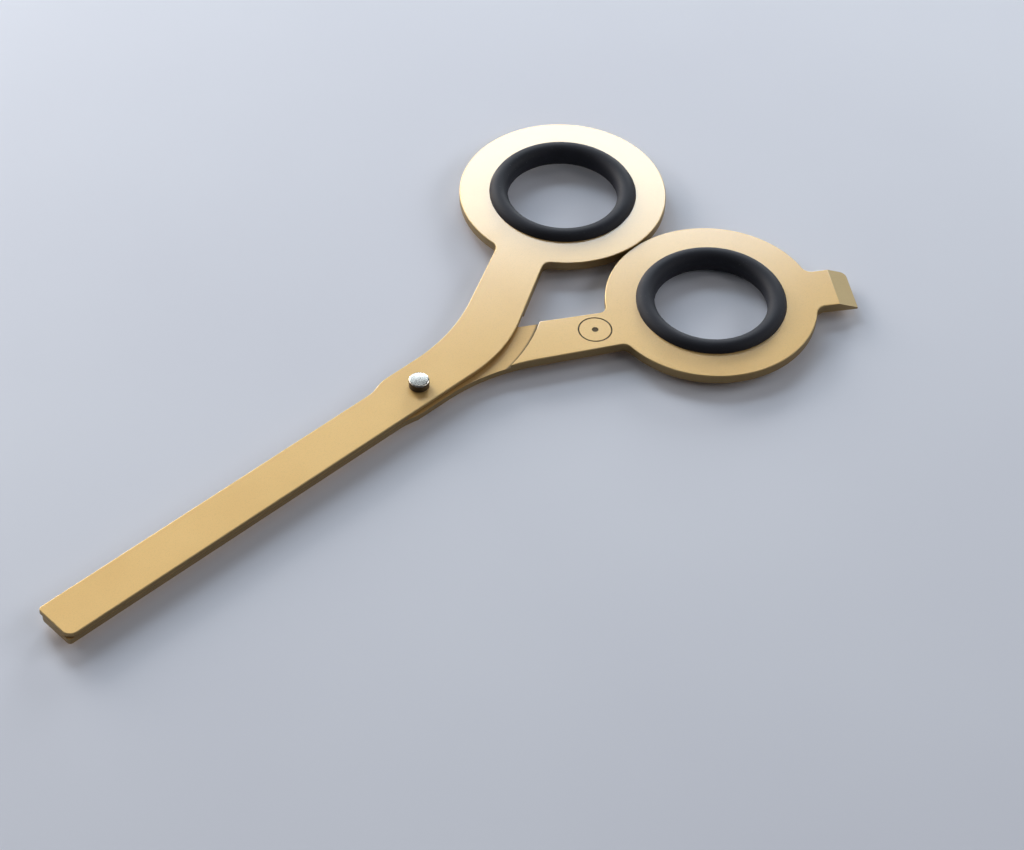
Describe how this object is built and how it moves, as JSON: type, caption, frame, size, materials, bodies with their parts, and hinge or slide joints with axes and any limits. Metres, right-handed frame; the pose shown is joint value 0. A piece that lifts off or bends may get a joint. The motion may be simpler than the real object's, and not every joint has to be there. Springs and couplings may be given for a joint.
{
  "type": "flat scissors with box opener",
  "caption": "Flat brass scissors with two half-lapped plates on a rivet, rubber-lined finger rings and a small box opener beside one ring.",
  "frame": {"origin": "centre of the rivet cap's flat rear face, on the pivot axis, in the plane the scissors lie on", "axes": "+X from the pivot towards the finger rings, +Y towards the upper plate's finger ring, +Z along the pivot axis from the lower plate to the upper one"},
  "size_m": [0.1731, 0.084, 0.0055],
  "materials": {
    "plate": "satin",
    "grip": "satin",
    "rivet": "polished",
    "washer": "satin"
  },
  "bodies": {
    "lower_half": {"lower_blade": "plate", "lower_grip_ring": "grip", "pivot_post": "rivet", "pivot_cap": "rivet", "pivot_washer": "washer"},
    "upper_half": {"upper_blade": "plate", "upper_grip_ring": "grip"}
  },
  "joints": [
    {"name": "opening", "type": "hinge", "parent": "lower_half", "child": "upper_half", "pos_m": [0, 0, 0.0026], "axis": [0, 0, 1], "range_deg": [0, 130]}
  ]
}
